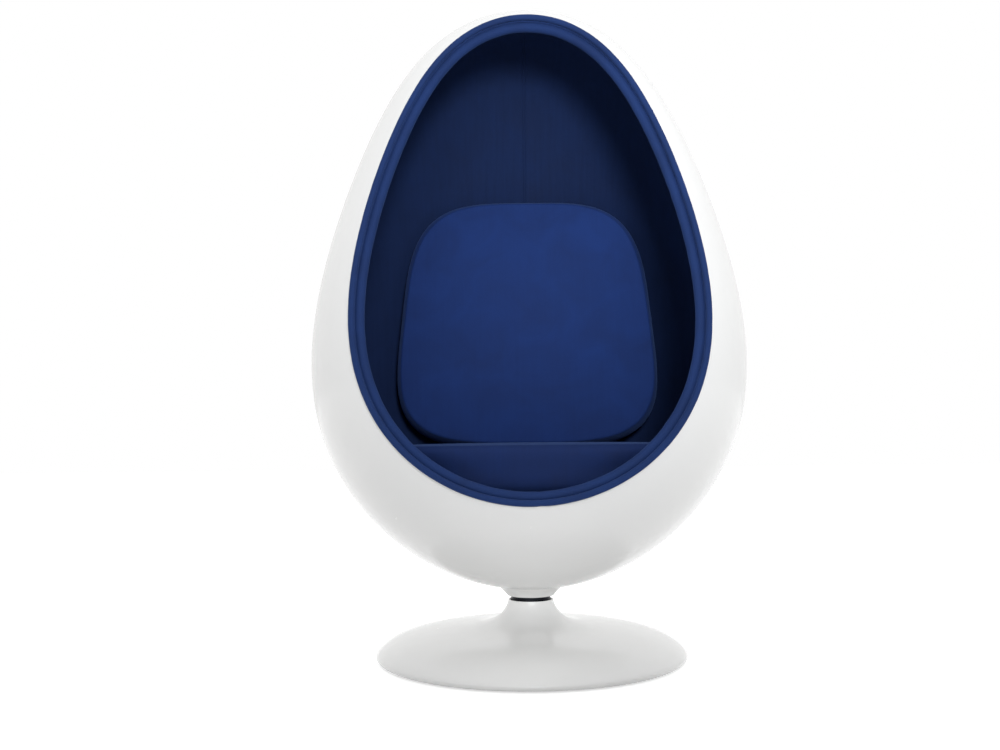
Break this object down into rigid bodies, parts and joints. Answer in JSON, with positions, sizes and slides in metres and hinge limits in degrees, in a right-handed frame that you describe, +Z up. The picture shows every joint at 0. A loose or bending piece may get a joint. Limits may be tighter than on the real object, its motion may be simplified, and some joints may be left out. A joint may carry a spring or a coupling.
{
  "type": "swivelling pod chair",
  "caption": "Egg-shaped chair that swivels on a domed pedestal: a glossy white shell, dark blue velvet lining and rim, and loose seat and back cushions.",
  "frame": {"origin": "on the floor, on the swivel axis in the middle of the pedestal", "axes": "+Z up along the swivel axis, +X across the seat to the right as seen from the front, -Y towards the front, where the opening is"},
  "size_m": [0.8977, 0.7234, 1.36],
  "materials": {
    "white_moulding": "gloss",
    "cushion_velvet": "matte",
    "lining_velvet": "matte",
    "rim_velvet": "matte",
    "zip_tape": "matte",
    "foam": "matte",
    "plywood": "matte",
    "black_board": "matte",
    "dark_steel": "satin",
    "dark_paint": "satin",
    "zinc_steel": "satin",
    "bearing_steel": "polished",
    "cage_brass": "satin",
    "bush_plastic": "matte",
    "ballast_iron": "matte",
    "black_rubber": "matte"
  },
  "bodies": {
    "base": {"floor_glides": "black_rubber", "ballast_plate": "ballast_iron", "base_trumpet": "white_moulding", "base_screws": "zinc_steel", "column": "dark_paint", "column_bolts": "zinc_steel", "lower_bush": "bush_plastic", "upper_bush": "bush_plastic", "lower_race": "bearing_steel", "bearing_balls": "bearing_steel", "ball_cage": "cage_brass"},
    "pod": {"upper_race": "bearing_steel", "spindle": "dark_steel", "retaining_washer": "zinc_steel", "retaining_bolt": "zinc_steel", "shell_collar": "white_moulding", "mount_bolts": "zinc_steel", "inner_pad": "plywood", "backing_plate": "dark_paint", "mount_washers": "zinc_steel", "mount_nuts": "zinc_steel", "outer_shell": "white_moulding", "lining_foam": "foam", "lining_left": "lining_velvet", "lining_right": "lining_velvet", "lining_seam": "lining_velvet", "rim_welt": "rim_velvet", "rim_roll": "rim_velvet", "board_blocks": "plywood", "seat_board": "black_board", "board_screws": "zinc_steel", "seat_foam": "foam", "seat_cover": "cushion_velvet", "seat_zip": "zip_tape", "back_foam": "foam", "back_cover": "cushion_velvet", "back_zip": "zip_tape"}
  },
  "joints": [
    {"name": "swivel", "type": "hinge", "parent": "base", "child": "pod", "pos_m": [0, 0, 0.11], "axis": [0, 0, 1], "continuous": true}
  ]
}
